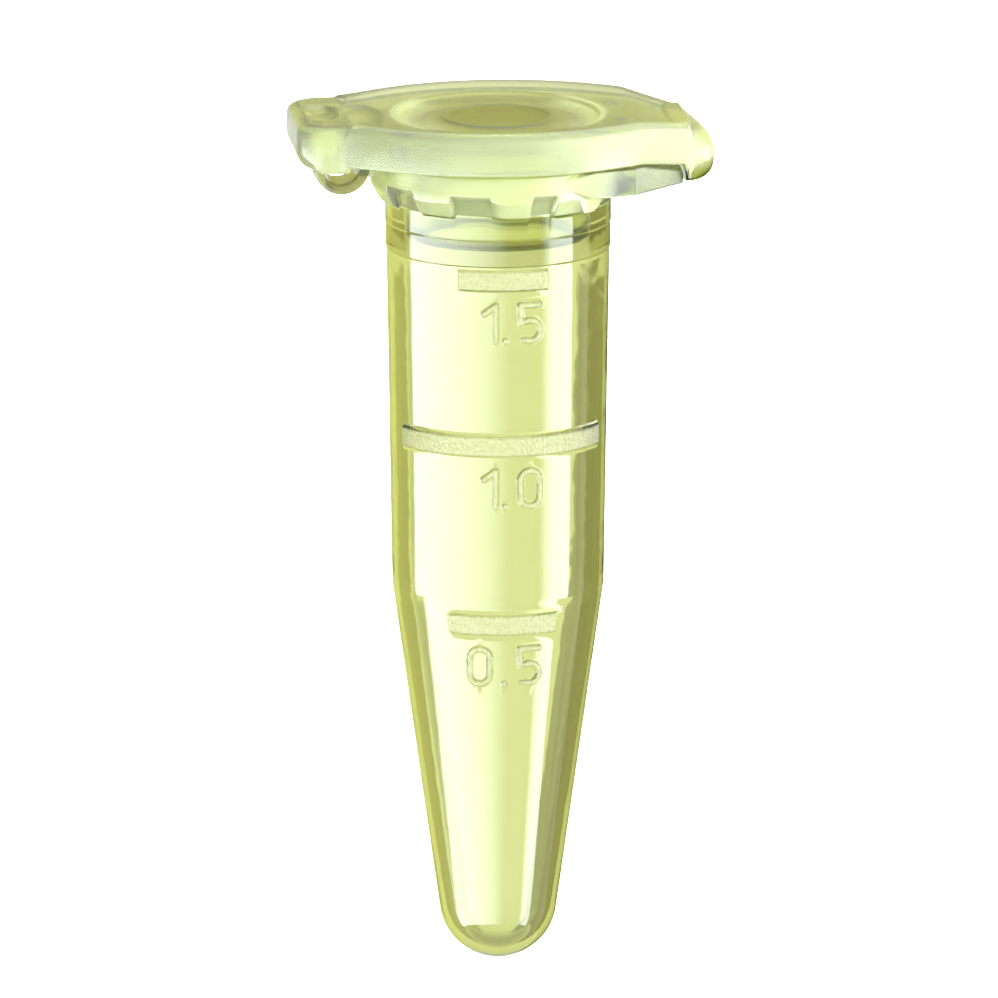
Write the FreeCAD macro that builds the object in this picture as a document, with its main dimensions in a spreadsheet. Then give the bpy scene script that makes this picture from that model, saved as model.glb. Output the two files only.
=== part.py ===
"""A 1.5 ml snap-cap microcentrifuge tube with its lid closed.

Millimetres. +Z runs up the tube's axis and +X from the hinge towards the thumb tab.
The origin is on the axis, in the plane of the collar's feet, where the tube hangs in a rack.
The tube is one polypropylene moulding in life. Here each working region is a solid of its own.
"""
import FreeCAD, Part
import math
import os
import Sketcher

UP = FreeCAD.Vector(0, 0, 1)

# Driving dimensions. A depth counts down from the plane of the collar's feet, a height up from it.
DIMENSIONS = {
    # barrel, cone and tip
    "tip_depth": 37.55,
    "tip_radius": 2.83,
    "tip_wall": 0.86,
    "cone_top_depth": 19.0,
    "cone_top_radius": 5.09,
    "barrel_top_depth": 2.46,
    "barrel_top_radius": 5.36,
    "wall": 0.9,
    # neck, collar and the feet under it
    "neck_radius": 5.45,
    "spigot_radius": 5.2,
    "land_top_depth": 1.55,
    "mouth_radius": 4.72,
    "mouth_bevel": 0.22,
    "collar_radius": 6.2,
    "collar_top": 2.13,
    "collar_bevel": 0.12,
    "band_bottom": 1.12,
    "foot_radius": 5.8,
    "foot_edge": 0.75,
    "foot_span": 19.0,
    "foot_pitch": 37.5,
    "wide_foot_span": 27.5,
    "wide_foot_pitch": 109.5,
    # lip under the thumb tab
    "lip_bottom": 0.7,
    "lip_root_top": 2.0,
    "lip_end_top": 1.3,
    "lip_bend": 6.6,
    "lip_end": 8.75,
    "lip_end_width": 3.7,
    "lip_root": 2.6,
    "lip_root_width": 11.24,
    "lip_shoulder": 6.2,
    "lip_shoulder_width": 8.8,
    # raised graduations, turned a little towards the hinge
    "marks_turn": -93.0,
    "numbers_turn": -92.0,
    "mark_height": 0.94,
    "mark_relief": 0.09,
    "mark_low_depth": 20.15,
    "mark_low_span": 61.0,
    "mark_mid_depth": 11.3,
    "mark_mid_span": 127.0,
    "mark_high_depth": 3.15,
    "mark_high_span": 47.0,
    "digit_height": 2.0,
    "digit_width": 1.22,
    "digit_gap": 1.2,
    "digit_stroke": 0.24,
    "digit_drop": 2.08,
    # hinge strap: half a ring in side view, folding at the outer face of its lower left
    "strap_centre": 7.65,
    "strap_height": 1.7,
    "strap_radius": 1.12,
    "strap_thickness": 0.5,
    "strap_width": 2.4,
    "fold_angle": 45.0,
    "lug_bottom": 1.25,
    "lug_top": 2.1,
    # lid plate, rim, hinge block and thumb tab
    "plate_bottom": 2.19,
    "plate_top": 3.97,
    "rim_rise": 0.3,
    "rim_width": 0.5,
    "lid_half_width": 6.6,
    "lid_side_radius": 10.4,
    "lid_side_reach": 6.0,
    "lid_side_width": 9.4,
    "tab_root": 8.95,
    "tab_root_width": 4.8,
    "tab_end": 10.45,
    "tab_end_radius": 2.67,
    "tab_bottom": 0.72,
    "tab_nose_height": 1.9,
    "tab_shoulder": 9.9,
    "tab_bend": 6.6,
    "tab_droop": 0.48,
    "block_root": 7.5,
    "block_end": 9.97,
    "block_width": 7.3,
    "block_bottom": 1.91,
    "block_top": 4.17,
    "block_corner": 1.0,
    "block_bevel": 0.9,
    "block_dish_reach": 8.7,
    "block_dish_length": 1.8,
    "block_dish_width": 3.5,
    "plate_dish_reach": 6.55,
    "plate_dish_length": 1.9,
    "plate_dish_width": 4.8,
    "dish_depth": 0.28,
    "recess_radius": 4.9,
    "recess_depth": 0.2,
    "ring_radius": 2.6,
    "ring_width": 0.32,
    "ring_rise": 0.1,
    # plug that closes the mouth
    "plug_radius": 4.3,
    "plug_wall": 0.75,
    "plug_depth": 1.9,
    "plug_bevel": 0.25,
    "hollow_rise": 0.6,
    "bead_radius": 4.38,
    "bead_depth": 1.5,
    "bead_height": 0.3,
}

FOOT_COUNT = 3  # feet each side, from beside the hinge to the front and back of the collar
DIGITS_FACE = -90.0  # the digits are drawn facing -Y, then turned to stand under their marks


class Size:
    """A length that carries its value and its formula over the spreadsheet."""

    def __init__(self, value, formula):
        self.value = value
        self.formula = formula

    def combine(self, other, sign, value):
        return Size(value, f"({self.formula} {sign} {other.formula})")

    def __add__(self, other):
        other = as_size(other)
        return self.combine(other, "+", self.value + other.value)

    def __sub__(self, other):
        other = as_size(other)
        return self.combine(other, "-", self.value - other.value)

    def __mul__(self, other):
        other = as_size(other)
        return self.combine(other, "*", self.value * other.value)

    def __truediv__(self, other):
        other = as_size(other)
        return self.combine(other, "/", self.value / other.value)

    def __neg__(self):
        return Size(-self.value, f"(-1 * {self.formula})")

    def root(self):
        return Size(math.sqrt(self.value), f"sqrt({self.formula})")


def as_size(number):
    """A plain number as a Size, so that both can stand in one sum."""
    return number if isinstance(number, Size) else Size(float(number), repr(float(number)))


class Dimensions:
    """The spreadsheet's cells, each read by its alias as a Size."""

    def __init__(self, document, table):
        sheet = document.addObject("Spreadsheet::Sheet", "dims")
        for row, (alias, value) in enumerate(table.items(), start=1):
            sheet.set(f"A{row}", alias)
            sheet.set(f"B{row}", str(value))
            sheet.setAlias(f"B{row}", alias)
            setattr(self, alias, Size(value, f"dims.{alias}"))
        document.recompute()


doc = FreeCAD.newDocument("microcentrifuge_tube")
dim = Dimensions(doc, DIMENSIONS)
ZERO = as_size(0)
PARTS = []


# --- helpers -------------------------------------------------------------------------------------

def keep(part, label):
    """Name a finished sub-part and put it on the list of those that are written."""
    part.Label = label
    PARTS.append(part)
    return part


def new_body(label):
    body = doc.addObject("PartDesign::Body", label)
    body.Label = label
    return body


def new_sketch(body, name, role, height=None):
    """A sketch on one of the body's own origin planes, lifted off it by height."""
    sketch = body.newObject("Sketcher::SketchObject", name)
    plane = next(item for item in body.Origin.OriginFeatures if item.Role == role)
    sketch.AttachmentSupport = [(plane, "")]
    sketch.MapMode = "FlatFace"
    if height is not None:
        sketch.setExpression("AttachmentOffset.Base.z", height.formula)
    return sketch


def pin_point(sketch, side, end, corner):
    """Dimension one point from the sketch's origin, in both directions, by its formulas."""
    for kind, axis, size in (("DistanceX", -2, corner[0]), ("DistanceY", -1, corner[1])):
        if abs(size.value) < 1e-9:
            sketch.addConstraint(Sketcher.Constraint("PointOnObject", side, end, axis))
            continue
        index = sketch.addConstraint(Sketcher.Constraint(kind, -1, 1, side, end, size.value))
        sketch.setExpression(f"Constraints[{index}]", size.formula)


def arc_between(start, end, radius, clockwise):
    """The shorter arc between two points. A clockwise one is stored anticlockwise, ends swapped."""
    middle = (start + end) * 0.5
    chord = end - start
    rise = math.sqrt(radius ** 2 - (chord.Length / 2) ** 2)
    left = FreeCAD.Vector(-chord.y, chord.x, 0).normalize()
    centre = middle + left * (-rise if clockwise else rise)
    first, last = (end, start) if clockwise else (start, end)
    angles = [math.atan2(p.y - centre.y, p.x - centre.x) for p in (first, last)]
    if angles[1] < angles[0]:
        angles[1] += 2 * math.pi
    circle = Part.Circle(centre, UP, radius)
    return Part.ArcOfCircle(circle, angles[0], angles[1])


def draw_outline(sketch, corners, arcs=None):
    """A closed outline through the corners. arcs maps a side to its radius and its direction."""
    arcs = arcs or {}
    points = [FreeCAD.Vector(x.value, y.value, 0) for x, y in corners]
    ends = []
    for side, start in enumerate(points):
        end = points[(side + 1) % len(points)]
        if side in arcs:
            radius, clockwise = arcs[side]
            index = sketch.addGeometry(arc_between(start, end, radius.value, clockwise), False)
            ends.append((index, 2, 1) if clockwise else (index, 1, 2))
        else:
            index = sketch.addGeometry(Part.LineSegment(start, end), False)
            ends.append((index, 1, 2))
    for side, (index, _, last) in enumerate(ends):
        following, first, _ = ends[(side + 1) % len(ends)]
        sketch.addConstraint(Sketcher.Constraint("Coincident", index, last, following, first))
    for (index, first, _), corner in zip(ends, corners):
        pin_point(sketch, index, first, corner)
    for side, (radius, _) in arcs.items():
        number = sketch.addConstraint(Sketcher.Constraint("Radius", ends[side][0], radius.value))
        sketch.setExpression(f"Constraints[{number}]", radius.formula)


def revolve(body, corners, arcs=None, span=None):
    """Turn a half section about the Z axis: all the way round, or over span centred on +X."""
    sketch = new_sketch(body, "half_section", "XZ_Plane")
    draw_outline(sketch, corners, arcs)
    turned = body.newObject("PartDesign::Revolution", "turned")
    turned.Profile = sketch
    turned.ReferenceAxis = (sketch, ["V_Axis"])
    turned.Angle = 360.0
    if span is not None:
        turned.Midplane = True
        turned.setExpression("Angle", span.formula)
    sketch.Visibility = False
    return turned


def pad(body, sketch, length, both_ways=False):
    feature = body.newObject("PartDesign::Pad", "pad")
    feature.Profile = sketch
    feature.Midplane = both_ways
    feature.setExpression("Length", length.formula)
    return feature


def side_pad(label, corners, width, arcs=None):
    """A body from its side view, as wide as width and centred on the tube's middle plane."""
    body = new_body(label)
    sketch = new_sketch(body, "side_view", "XZ_Plane")
    draw_outline(sketch, corners, arcs)
    pad(body, sketch, width, both_ways=True)
    return body


def plan_pad(label, corners, bottom, height, arcs=None):
    """A body from its plan, standing on the height bottom."""
    body = new_body(label)
    sketch = new_sketch(body, "plan", "XY_Plane", bottom)
    draw_outline(sketch, corners, arcs)
    pad(body, sketch, height)
    return body


def boolean(kind, label, base, tool):
    """A Part::Cut or Part::Common of two objects."""
    result = doc.addObject(f"Part::{kind}", label)
    result.Base = base
    result.Tool = tool
    result.Label = label
    return result


def cylinder(label, radius, height, bottom):
    """An upright Part::Cylinder on the tube's axis."""
    shape = doc.addObject("Part::Cylinder", label)
    shape.setExpression("Radius", radius.formula)
    shape.setExpression("Height", height.formula)
    shape.setExpression("Placement.Base.z", bottom.formula)
    return shape


def ring(label, outer, inner, bottom, height):
    """A flat ring on the tube's axis, as one cylinder cut from another."""
    disc = cylinder(label + "_disc", outer, height, bottom)
    hole = cylinder(label + "_hole", inner, height, bottom)
    return boolean("Cut", label, disc, hole)


def turn_about_axis(part, degrees):
    part.Placement = FreeCAD.Placement(FreeCAD.Vector(), FreeCAD.Rotation(UP, degrees))


def mirrored_corners(half):
    """Both halves of a plan that is the same either side of the X axis, anticlockwise."""
    return half + [(x, -y) for x, y in reversed(half) if abs(y.value) > 1e-9]


# --- tube ----------------------------------------------------------------------------------------

def tangent_corner(top_radius, top_height, tip_radius, tip_centre):
    """Where the wall's straight line from its top meets the round tip without a corner."""
    rise = top_height - tip_centre
    reach_squared = top_radius * top_radius + rise * rise
    length = (reach_squared - tip_radius * tip_radius).root()
    out = (tip_radius * tip_radius * top_radius + tip_radius * length * rise) / reach_squared
    up = (tip_radius * tip_radius * rise - tip_radius * length * top_radius) / reach_squared
    return (out, tip_centre + up)


def make_barrel():
    """The vessel: a slightly tapered barrel, the cone below it and the round tip."""
    top, cone_top = -dim.barrel_top_depth, -dim.cone_top_depth
    centre = dim.tip_radius - dim.tip_depth
    inner_tip = dim.tip_radius - dim.tip_wall
    inner_cone_top = dim.cone_top_radius - dim.wall
    corners = [
        (ZERO, -dim.tip_depth),
        tangent_corner(dim.cone_top_radius, cone_top, dim.tip_radius, centre),
        (dim.cone_top_radius, cone_top),
        (dim.barrel_top_radius, top),
        (dim.barrel_top_radius - dim.wall, top),
        (inner_cone_top, cone_top),
        tangent_corner(inner_cone_top, cone_top, inner_tip, centre),
        (ZERO, centre - inner_tip),
    ]
    body = new_body("barrel")
    revolve(body, corners, {0: (dim.tip_radius, False), 6: (inner_tip, True)})
    return keep(body, "barrel")


def make_neck():
    """The cylinder that a rack or rotor grips, with the sealing land and the flared mouth inside.

    Above the seat it narrows to a spigot that stands inside the collar.
    """
    bottom = -dim.barrel_top_depth
    bore = dim.barrel_top_radius - dim.wall
    body = new_body("neck")
    revolve(body, [
        (bore, bottom),
        (dim.neck_radius, bottom),
        (dim.neck_radius, ZERO),
        (dim.spigot_radius, ZERO),
        (dim.spigot_radius, dim.collar_top),
        (dim.mouth_radius + dim.mouth_bevel, dim.collar_top),
        (dim.mouth_radius, dim.collar_top - dim.mouth_bevel),
        (bore, -dim.land_top_depth),
    ])
    return keep(body, "neck")


def make_collar():
    """The flange round the mouth. Its underside slopes back to the neck between the feet."""
    body = new_body("collar")
    revolve(body, [
        (dim.spigot_radius, ZERO),
        (dim.neck_radius, ZERO),
        (dim.collar_radius, dim.band_bottom),
        (dim.collar_radius, dim.collar_top - dim.collar_bevel),
        (dim.collar_radius - dim.collar_bevel, dim.collar_top),
        (dim.spigot_radius, dim.collar_top),
    ])
    return keep(body, "collar")


def foot_section():
    """Half section of a foot: it stands on a narrow seat by the neck and slopes out to the collar."""
    return [
        (dim.neck_radius, ZERO),
        (dim.foot_radius, ZERO),
        (dim.collar_radius, dim.foot_edge),
        (dim.collar_radius, dim.band_bottom),
    ]


def row_of_feet(body, angle, count):
    """Copies of a foot about the Z axis, evenly spread from the first one over an angle."""
    row = body.newObject("PartDesign::PolarPattern", "row_of_feet")
    row.Axis = (next(a for a in body.Origin.OriginFeatures if a.Role == "Z_Axis"), [""])
    row.setExpression("Angle", angle.formula)
    row.Occurrences = count
    return row


def make_feet():
    """Equal feet under the collar, three each side, with notches between them."""
    body = new_body("collar_feet")
    body.AllowCompound = True
    foot = revolve(body, foot_section(), span=dim.foot_span)
    row = row_of_feet(body, dim.foot_pitch * (FOOT_COUNT - 1), FOOT_COUNT)
    both = body.newObject("PartDesign::Mirrored", "both_sides")
    both.MirrorPlane = (next(p for p in body.Origin.OriginFeatures if p.Role == "YZ_Plane"), [""])
    feet = body.newObject("PartDesign::MultiTransform", "feet")
    feet.Originals = [foot]
    feet.Transformations = [row, both]
    body.Tip = feet
    turn_about_axis(body, 90)
    return keep(body, "collar_feet")


def make_wide_feet():
    """One wider foot each side of the lip. Nothing stands under the lip itself."""
    body = new_body("wide_feet")
    body.AllowCompound = True
    foot = revolve(body, foot_section(), span=dim.wide_foot_span)
    pair = row_of_feet(body, dim.wide_foot_pitch, 2)
    pair.Originals = [foot]
    body.Tip = pair
    turn_about_axis(body, -dim.wide_foot_pitch.value / 2)
    return keep(body, "wide_feet")


def make_lip():
    """The ledge under the thumb tab: it leaves the collar smoothly, then narrows and thins to its end."""
    plan = plan_pad("lip_plan", mirrored_corners([
        (dim.lip_root, -dim.lip_root_width / 2),
        (dim.lip_shoulder, -dim.lip_shoulder_width / 2),
        (dim.lip_end, -dim.lip_end_width / 2),
    ]), ZERO, dim.plate_bottom)
    side = side_pad("lip_side", [
        (dim.lip_root, dim.lip_bottom),
        (dim.lip_end, dim.lip_bottom),
        (dim.lip_end, dim.lip_end_top),
        (dim.lip_bend, dim.lip_root_top),
        (dim.lip_root, dim.lip_root_top),
    ], dim.lip_root_width)
    wedge = boolean("Common", "lip_wedge", plan, side)
    core = cylinder("lip_core", dim.collar_radius, dim.collar_top, ZERO)
    return keep(boolean("Cut", "collar_lip", wedge, core), "collar_lip")


def make_lug():
    """The lug on the collar's band that the strap grows out of."""
    inner_face = dim.strap_centre - dim.strap_radius + dim.strap_thickness / 2
    outer_face = dim.strap_centre - dim.strap_radius - dim.strap_thickness / 2
    root = dim.neck_radius
    block = side_pad("lug_block", [
        (-root, dim.lug_top),
        (-inner_face, dim.lug_top),
        (-inner_face, dim.strap_height),
        (-outer_face, dim.strap_height),
        (-outer_face, dim.lug_bottom),
        (-root, dim.lug_bottom),
    ], dim.strap_width)
    core = cylinder("lug_core", dim.collar_radius, dim.collar_top, ZERO)
    return keep(boolean("Cut", "hinge_lug", block, core), "hinge_lug")


# --- graduations ---------------------------------------------------------------------------------

def wall_radius(depth):
    """Outer radius of the tube's wall at a depth, on the barrel or on the cone."""
    if depth.value <= dim.cone_top_depth.value:
        slope = (dim.barrel_top_radius - dim.cone_top_radius) / (dim.cone_top_depth - dim.barrel_top_depth)
        return dim.cone_top_radius + slope * (dim.cone_top_depth - depth)
    centre = dim.tip_radius - dim.tip_depth
    out, height = tangent_corner(dim.cone_top_radius, -dim.cone_top_depth, dim.tip_radius, centre)
    slope = (dim.cone_top_radius - out) / (-dim.cone_top_depth - height)
    return out + slope * (-depth - height)


def make_mark(label, depth, span):
    """A raised bar on the wall, level with one volume."""
    top, bottom = depth - dim.mark_height / 2, depth + dim.mark_height / 2
    body = new_body(label)
    revolve(body, [
        (wall_radius(bottom), -bottom),
        (wall_radius(bottom) + dim.mark_relief, -bottom),
        (wall_radius(top) + dim.mark_relief, -top),
        (wall_radius(top), -top),
    ], span=span)
    turn_about_axis(body, dim.marks_turn.value)
    return keep(body, label)


def flat_box(left, right, bottom, top):
    """A rectangle of a digit, as deep in Y as the tube's front half."""
    depth = dim.neck_radius.value * 2
    return Part.makeBox(right - left, depth, top - bottom, FreeCAD.Vector(left, -depth, bottom))


def flat_ring(x, z, outer, inner):
    """A round of a digit, as deep in Y as the tube's front half."""
    depth = dim.neck_radius.value * 2
    base, along = FreeCAD.Vector(x, -depth, z), FreeCAD.Vector(0, 1, 0)
    return Part.makeCylinder(outer, depth, base, along).cut(Part.makeCylinder(inner, depth, base, along))


def digit_zero(left, bottom):
    """Two half rounds joined by straight sides."""
    width, height, stroke = dim.digit_width.value, dim.digit_height.value, dim.digit_stroke.value
    radius = width / 2
    low, high = bottom + radius, bottom + height - radius
    middle = left + radius
    bends = flat_ring(middle, low, radius, radius - stroke).fuse(flat_ring(middle, high, radius, radius - stroke))
    bends = bends.cut(flat_box(left, left + width, low, high))
    sides = flat_box(left, left + stroke, low, high).fuse(flat_box(left + width - stroke, left + width, low, high))
    return bends.fuse(sides)


def digit_one(left, bottom):
    """An upright and a short slanted flag."""
    height, stroke = dim.digit_height.value, dim.digit_stroke.value
    stem_left = left + dim.digit_width.value
    stem = flat_box(stem_left, stem_left + stroke, bottom, bottom + height)
    flag = flat_box(stem_left - stroke * 2, stem_left, bottom + height - stroke, bottom + height)
    flag.rotate(FreeCAD.Vector(stem_left, 0, bottom + height), FreeCAD.Vector(0, 1, 0), -40)
    return stem.fuse(flag.common(flat_box(left, stem_left + stroke, bottom, bottom + height)))


def digit_five(left, bottom):
    """A flat top, a short upright and an open round below."""
    width, height, stroke = dim.digit_width.value, dim.digit_height.value, dim.digit_stroke.value
    radius = height * 0.31
    centre_x, centre_z = left + width - radius, bottom + radius
    bowl = flat_ring(centre_x, centre_z, radius, radius - stroke)
    bowl = bowl.cut(flat_box(centre_x - radius, centre_x - radius * 0.3, centre_z - radius * 0.35, centre_z + radius))
    flat_top = flat_box(left + stroke / 2, left + width, bottom + height - stroke, bottom + height)
    upright = flat_box(left + stroke / 2, left + stroke * 1.5, centre_z + radius * 0.6, bottom + height)
    joint = flat_box(left + stroke / 2, centre_x - radius * 0.2, centre_z + radius - stroke, centre_z + radius)
    return bowl.fuse([flat_top, upright, joint])


def relief_shell(depth):
    """The skin of the wall, as thick as the relief, round the digits at a depth."""
    half = dim.digit_height.value * 0.75
    low, high = as_size(depth + half), as_size(depth - half)
    radii = [wall_radius(low).value, wall_radius(high).value]
    base, tall = FreeCAD.Vector(0, 0, -low.value), 2 * half
    relief = dim.mark_relief.value
    skin = Part.makeCone(radii[0] + relief, radii[1] + relief, tall, base, UP)
    return skin.cut(Part.makeCone(radii[0], radii[1], tall, base, UP))


def make_number(label, text, mark_depth):
    """A raised number under its mark. Its strokes are cut out of a skin on the wall."""
    makers = {"0": digit_zero, "1": digit_one, "5": digit_five}
    width, gap, stroke = dim.digit_width.value, dim.digit_gap.value, dim.digit_stroke.value
    depth = mark_depth.value + dim.digit_drop.value
    bottom = -depth - dim.digit_height.value / 2
    left = -width - gap / 2
    strokes = [
        makers[text[0]](left, bottom),
        flat_box(-stroke / 2, stroke / 2, bottom, bottom + stroke),
        makers[text[2]](gap / 2, bottom),
    ]
    skin = relief_shell(depth)
    number = doc.addObject("Part::Feature", label)
    number.Shape = Part.makeCompound([solid for piece in strokes for solid in skin.common(piece).Solids])
    turn_about_axis(number, dim.numbers_turn.value - DIGITS_FACE)
    return keep(number, label)


# --- strap ---------------------------------------------------------------------------------------

def strap_corner(radius, degrees):
    """A point of the strap's side view, as an angle and a radius about the ring's centre."""
    turn = math.radians(degrees)
    return (radius * math.cos(turn) - dim.strap_centre, dim.strap_height + radius * math.sin(turn))


def make_collar_strap():
    """The strap from the collar's lug round the bottom of the loop to the fold."""
    inner = dim.strap_radius - dim.strap_thickness / 2
    outer = dim.strap_radius + dim.strap_thickness / 2
    fold = 180 + dim.fold_angle.value
    corners = [
        strap_corner(outer, fold),
        strap_corner(outer, 270),
        strap_corner(outer, 360),
        strap_corner(inner, 360),
        strap_corner(inner, 270),
        strap_corner(inner, fold),
    ]
    arcs = {0: (outer, False), 1: (outer, False), 3: (inner, True), 4: (inner, True)}
    return keep(side_pad("collar_strap", corners, dim.strap_width, arcs), "collar_strap")


def make_lid_strap():
    """The strap from the fold up into the lid's hinge block."""
    inner = dim.strap_radius - dim.strap_thickness / 2
    outer = dim.strap_radius + dim.strap_thickness / 2
    fold = 180 + dim.fold_angle.value
    corners = [
        strap_corner(outer, 180),
        strap_corner(outer, fold),
        strap_corner(inner, fold),
        strap_corner(inner, 180),
        (-dim.strap_centre - inner, dim.block_bottom),
        (-dim.strap_centre - outer, dim.block_bottom),
    ]
    arcs = {0: (outer, False), 2: (inner, True)}
    return keep(side_pad("lid_strap", corners, dim.strap_width, arcs), "lid_strap")


# --- lid -----------------------------------------------------------------------------------------

def lid_plan(inset):
    """The lid's outline without its tab and block: long curved sides that close in at both ends."""
    half = [
        (dim.tab_root, dim.tab_root_width / 2 - inset),
        (dim.lid_side_reach, dim.lid_side_width / 2 - inset),
        (-dim.lid_side_reach, dim.lid_side_width / 2 - inset),
        (-dim.block_root, dim.block_width / 2 - inset),
    ]
    corners = half + [(x, -y) for x, y in reversed(half)]
    radius = dim.lid_side_radius - inset
    return corners, {1: (radius, False), 5: (radius, False)}


def lid_side(top_rise, bottom, label):
    """The lid's side view: level, then drooping towards the tab."""
    top = dim.plate_top + top_rise
    return side_pad(label, [
        (-dim.block_root, bottom),
        (dim.tab_bend, bottom),
        (dim.tab_root, bottom - dim.tab_droop),
        (dim.tab_root, top - dim.tab_droop),
        (dim.tab_bend, top),
        (-dim.block_root, top),
    ], dim.lid_half_width * 2)


def finger_dish(label, reach, top, length, width):
    """An ellipsoid to cut a shallow dish with. It lies on the top, reach out towards the hinge."""
    dish = doc.addObject("Part::Ellipsoid", label)
    dish.setExpression("Radius1", dim.dish_depth.formula)
    dish.setExpression("Radius2", (length / 2).formula)
    dish.setExpression("Radius3", (width / 2).formula)
    dish.setExpression("Placement.Base.x", (-reach).formula)
    dish.setExpression("Placement.Base.z", top.formula)
    return dish


def make_plate():
    """The lid's plate: a recess and a finger dish on top, and the plug's hollow rising into it."""
    corners, arcs = lid_plan(ZERO)
    plan = plan_pad("plate_plan", corners, ZERO, dim.plate_top + dim.rim_rise, arcs)
    blank = boolean("Common", "plate_blank", plan, lid_side(ZERO, dim.plate_bottom, "plate_side"))
    recess = cylinder("recess", dim.recess_radius, dim.recess_depth, dim.plate_top - dim.recess_depth)
    recessed = boolean("Cut", "plate_recessed", blank, recess)
    dish = finger_dish(
        "plate_dish", dim.plate_dish_reach, dim.plate_top, dim.plate_dish_length, dim.plate_dish_width)
    dished = boolean("Cut", "plate_dished", recessed, dish)
    hollow_radius = dim.plug_radius - dim.plug_wall
    hollow = cylinder("plate_hollow", hollow_radius, dim.hollow_rise, dim.plate_bottom)
    return keep(boolean("Cut", "lid_plate", dished, hollow), "lid_plate")


def make_rim():
    """The low rim that stands round the top of the plate."""
    outer, arcs = lid_plan(ZERO)
    plan = plan_pad("rim_plan", outer, ZERO, dim.plate_top + dim.rim_rise, arcs)
    inner, arcs = lid_plan(dim.rim_width)
    hole = plan_pad("rim_hole", inner, ZERO, dim.plate_top + dim.rim_rise, arcs)
    band = boolean("Cut", "rim_band", plan, hole)
    side = lid_side(dim.rim_rise, dim.plate_top, "rim_side")
    return keep(boolean("Common", "lid_rim", band, side), "lid_rim")


def make_ring():
    """The fine raised ring in the middle of the recess."""
    floor = dim.plate_top - dim.recess_depth
    outer, inner = dim.ring_radius + dim.ring_width / 2, dim.ring_radius - dim.ring_width / 2
    return keep(ring("centre_ring", outer, inner, floor, dim.ring_rise), "centre_ring")


def make_tab():
    """The thumb tab: round in plan and in side view, hanging over the end of the lip."""
    plan = plan_pad("tab_plan", [
        (dim.tab_root, -dim.tab_root_width / 2),
        (dim.tab_end, ZERO),
        (dim.tab_root, dim.tab_root_width / 2),
    ], ZERO, dim.plate_top, {0: (dim.tab_end_radius, False), 1: (dim.tab_end_radius, False)})
    top = dim.plate_top - dim.tab_droop
    side = side_pad("tab_side", [
        (dim.tab_root, dim.tab_bottom),
        (dim.tab_shoulder, dim.tab_bottom),
        (dim.tab_end, dim.tab_nose_height),
        (dim.tab_root, top),
    ], dim.tab_root_width, {1: (dim.tab_nose_height - dim.tab_bottom, False), 2: (dim.tab_end_radius, False)})
    return keep(boolean("Common", "thumb_tab", plan, side), "thumb_tab")


def make_block():
    """The hinge block: rounded corners, a bevel under its outer end and a finger dish on top."""
    half = dim.block_width / 2
    corner = dim.block_corner
    plan = plan_pad("block_plan", [
        (-dim.block_root, half),
        (corner - dim.block_end, half),
        (-dim.block_end, half - corner),
        (-dim.block_end, corner - half),
        (corner - dim.block_end, -half),
        (-dim.block_root, -half),
    ], ZERO, dim.block_top, {1: (corner, False), 3: (corner, False)})
    side = side_pad("block_side", [
        (-dim.block_root, dim.block_bottom),
        (-dim.block_root, dim.block_top),
        (-dim.block_end, dim.block_top),
        (-dim.block_end, dim.block_bottom + dim.block_bevel),
        (dim.block_bevel - dim.block_end, dim.block_bottom),
    ], dim.block_width)
    blank = boolean("Common", "block_blank", plan, side)
    dish = finger_dish(
        "block_dish", dim.block_dish_reach, dim.block_top, dim.block_dish_length, dim.block_dish_width)
    return keep(boolean("Cut", "hinge_block", blank, dish), "hinge_block")


def make_plug():
    """The hollow plug under the lid, bevelled at its lower rim."""
    bottom, inner = -dim.plug_depth, dim.plug_radius - dim.plug_wall
    body = new_body("lid_plug")
    revolve(body, [
        (inner, bottom),
        (dim.plug_radius - dim.plug_bevel, bottom),
        (dim.plug_radius, bottom + dim.plug_bevel),
        (dim.plug_radius, dim.plate_bottom),
        (inner, dim.plate_bottom),
    ])
    return keep(body, "lid_plug")


def make_bead():
    """The sealing bead round the plug, facing the land in the neck."""
    middle, half = -dim.bead_depth, dim.bead_height / 2
    body = new_body("seal_bead")
    revolve(body, [
        (dim.plug_radius, middle - half),
        (dim.bead_radius, middle - half / 2),
        (dim.bead_radius, middle + half / 2),
        (dim.plug_radius, middle + half),
    ])
    return keep(body, "seal_bead")


# --- build ---------------------------------------------------------------------------------------

def make_graduations():
    """Three volume marks, each with its number below it."""
    for name, text, depth, span in (
        ("low", "0.5", dim.mark_low_depth, dim.mark_low_span),
        ("middle", "1.0", dim.mark_mid_depth, dim.mark_mid_span),
        ("high", "1.5", dim.mark_high_depth, dim.mark_high_span),
    ):
        make_mark(f"{name}_mark", depth, span)
        make_number(f"{name}_number", text, depth)


def check_document():
    """Stop with the object's name if a feature failed or a sub-part isn't sound."""
    for item in doc.Objects:
        if "Invalid" in item.State or "Error" in item.State:
            raise RuntimeError(f"{item.Name} failed: {item.State}")
    for part in PARTS:
        if part.Shape.isNull() or not part.Shape.isValid() or not part.Shape.Solids:
            raise RuntimeError(f"{part.Label} has no sound shape")


def write_parts():
    os.makedirs("parts", exist_ok=True)
    for part in PARTS:
        part.Shape.exportStep(f"parts/{part.Label}.step")
        box = part.Shape.BoundBox
        print(f"{part.Label:14s} {len(part.Shape.Solids)} solid(s) {part.Shape.Volume:8.3f} mm3"
              f"  z {box.ZMin:7.2f} to {box.ZMax:6.2f}")


make_barrel()
make_neck()
make_collar()
make_feet()
make_wide_feet()
make_lip()
make_lug()
make_graduations()
make_collar_strap()
make_lid_strap()
make_plate()
make_rim()
make_ring()
make_tab()
make_block()
make_plug()
make_bead()
doc.recompute()
check_document()
write_parts()
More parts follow.
